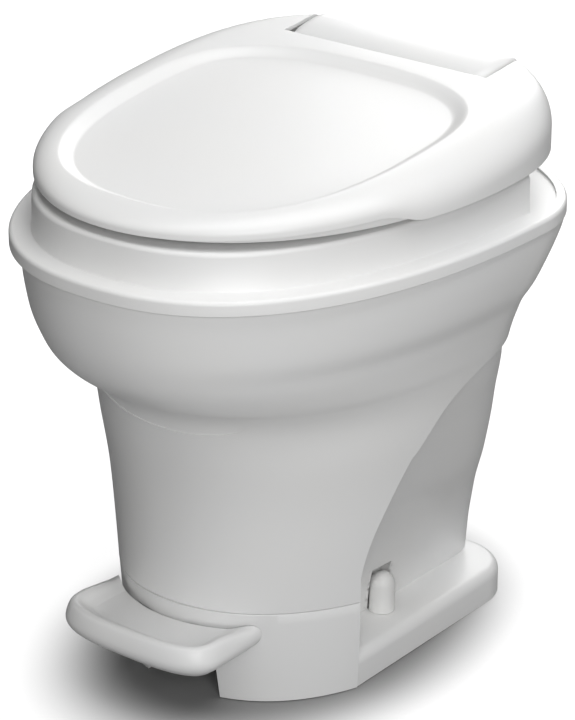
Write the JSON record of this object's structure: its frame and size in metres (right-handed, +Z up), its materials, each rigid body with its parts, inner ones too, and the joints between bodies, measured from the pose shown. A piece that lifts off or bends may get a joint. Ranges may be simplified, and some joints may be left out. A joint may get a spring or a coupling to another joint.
{
  "type": "caravan toilet",
  "caption": "Floor-standing plastic caravan toilet: egg-shaped bowl with hinged seat and dished lid, and a foot pedal that turns a ball valve and opens the flush water.",
  "frame": {"origin": "on the floor, at the middle of the outer box seen from above", "axes": "+Z up from the floor, -Y towards the front edge of the bowl, +X towards the right-hand side seen from the front"},
  "size_m": [0.385, 0.47, 0.465],
  "materials": {
    "axle_bush_left": "satin grey moulded plastic",
    "axle_bush_right": "satin grey moulded plastic",
    "axle_ring_left": "bright steel",
    "axle_ring_right": "bright steel",
    "ball_seal": "matt black rubber",
    "base": "glossy white moulded plastic",
    "bolt_cap_left": "satin white moulded plastic",
    "bolt_cap_right": "satin white moulded plastic",
    "bowl": "glossy white moulded plastic",
    "cam_ring": "bright steel",
    "drive_pinion": "satin grey moulded plastic",
    "drive_sector": "satin grey moulded plastic",
    "floor_bolt_left": "bright steel",
    "floor_bolt_right": "bright steel",
    "floor_nut_left": "bright steel",
    "floor_nut_right": "bright steel",
    "floor_seal": "matt black rubber",
    "floor_washer_left": "bright steel",
    "floor_washer_right": "bright steel",
    "flush_hose": "pale flexible hose",
    "flush_nozzle": "satin white moulded plastic",
    "front_shroud": "glossy white moulded plastic",
    "hinge_bolt_left": "bright steel",
    "hinge_bolt_right": "bright steel",
    "hinge_cover": "glossy white moulded plastic",
    "hinge_pin": "bright steel",
    "hinge_saddle_left": "satin white moulded plastic",
    "hinge_saddle_right": "satin white moulded plastic",
    "hinge_washer_left": "bright steel",
    "hinge_washer_right": "bright steel",
    "inlet_fitting": "satin grey moulded plastic",
    "lid": "glossy white moulded plastic",
    "lid_buffer_left": "matt black rubber",
    "lid_buffer_right": "matt black rubber",
    "link_hose": "pale flexible hose",
    "pedal_axle": "bright steel",
    "pedal_lever": "satin white moulded plastic",
    "pedal_screw_left": "bright steel",
    "pedal_screw_right": "bright steel",
    "pedal_spring": "bright steel",
    "pedal_tread": "glossy white moulded plastic",
    "pinion_ring": "bright steel",
    "rim_deck": "glossy white moulded plastic",
    "seat": "glossy white moulded plastic",
    "seat_buffer_front_left": "matt black rubber",
    "seat_buffer_front_right": "matt black rubber",
    "seat_buffer_rear_left": "matt black rubber",
    "seat_buffer_rear_right": "matt black rubber",
    "supply_hose": "pale flexible hose",
    "toe_panel": "glossy white moulded plastic",
    "vacuum_breaker": "satin grey moulded plastic",
    "vacuum_breaker_cap": "matt black rubber",
    "valve_cam": "satin grey moulded plastic",
    "valve_housing": "satin white moulded plastic",
    "valve_stem": "bright steel",
    "waste_ball": "glossy white moulded plastic",
    "water_valve_body": "satin grey moulded plastic"
  },
  "bodies": {
    "toilet": {"base": "base", "axle_bush_left": "axle_bush_left", "axle_bush_right": "axle_bush_right", "ball_seal": "ball_seal", "bolt_cap_left": "bolt_cap_left", "bolt_cap_right": "bolt_cap_right", "bowl": "bowl", "floor_bolt_left": "floor_bolt_left", "floor_bolt_right": "floor_bolt_right", "floor_nut_left": "floor_nut_left", "floor_nut_right": "floor_nut_right", "floor_seal": "floor_seal", "floor_washer_left": "floor_washer_left", "floor_washer_right": "floor_washer_right", "flush_hose": "flush_hose", "flush_nozzle": "flush_nozzle", "front_shroud": "front_shroud", "hinge_bolt_left": "hinge_bolt_left", "hinge_bolt_right": "hinge_bolt_right", "hinge_cover": "hinge_cover", "hinge_pin": "hinge_pin", "hinge_saddle_left": "hinge_saddle_left", "hinge_saddle_right": "hinge_saddle_right", "hinge_washer_left": "hinge_washer_left", "hinge_washer_right": "hinge_washer_right", "inlet_fitting": "inlet_fitting", "link_hose": "link_hose", "pedal_spring": "pedal_spring", "rim_deck": "rim_deck", "supply_hose": "supply_hose", "toe_panel": "toe_panel", "vacuum_breaker": "vacuum_breaker", "vacuum_breaker_cap": "vacuum_breaker_cap", "valve_housing": "valve_housing", "water_valve_body": "water_valve_body"},
    "seat": {"seat": "seat", "seat_buffer_front_left": "seat_buffer_front_left", "seat_buffer_front_right": "seat_buffer_front_right", "seat_buffer_rear_left": "seat_buffer_rear_left", "seat_buffer_rear_right": "seat_buffer_rear_right", "lid_buffer_left": "lid_buffer_left", "lid_buffer_right": "lid_buffer_right"},
    "lid": {"lid": "lid"},
    "pedal": {"pedal_tread": "pedal_tread", "pedal_lever": "pedal_lever", "pedal_screw_left": "pedal_screw_left", "pedal_screw_right": "pedal_screw_right", "pedal_axle": "pedal_axle", "axle_ring_left": "axle_ring_left", "axle_ring_right": "axle_ring_right", "drive_sector": "drive_sector"},
    "waste_ball": {"waste_ball": "waste_ball", "drive_pinion": "drive_pinion", "pinion_ring": "pinion_ring", "valve_cam": "valve_cam", "cam_ring": "cam_ring"},
    "valve_stem": {"valve_stem": "valve_stem"}
  },
  "joints": [
    {"name": "seat_hinge", "type": "hinge", "parent": "toilet", "child": "seat", "pos_m": [0, 0.165, 0.443], "axis": [-1, 0, 0], "range_deg": [0, 95]},
    {"name": "lid_hinge", "type": "hinge", "parent": "seat", "child": "lid", "pos_m": [0, 0.165, 0.443], "axis": [-1, 0, 0], "range_deg": [0, 95]},
    {"name": "pedal_hinge", "type": "hinge", "parent": "toilet", "child": "pedal", "pos_m": [0, -0.058, 0.06], "axis": [1, 0, 0], "range_deg": [0, 18], "stiffness_Nm_per_rad": 8, "springref_deg": -11.46},
    {"name": "ball_turn", "type": "hinge", "parent": "toilet", "child": "waste_ball", "pos_m": [0, 0.02, 0.095], "axis": [1, 0, 0], "range_deg": [-90, 0]},
    {"name": "stem_slide", "type": "slide", "parent": "toilet", "child": "valve_stem", "axis": [0, 0, 1], "range_m": [0, 0.007]}
  ],
  "couplings": [
    {"joint": "ball_turn", "follows": "pedal_hinge", "ratio": -5},
    {"joint": "stem_slide", "follows": "pedal_hinge", "m_per_rad": 0.02228}
  ]
}
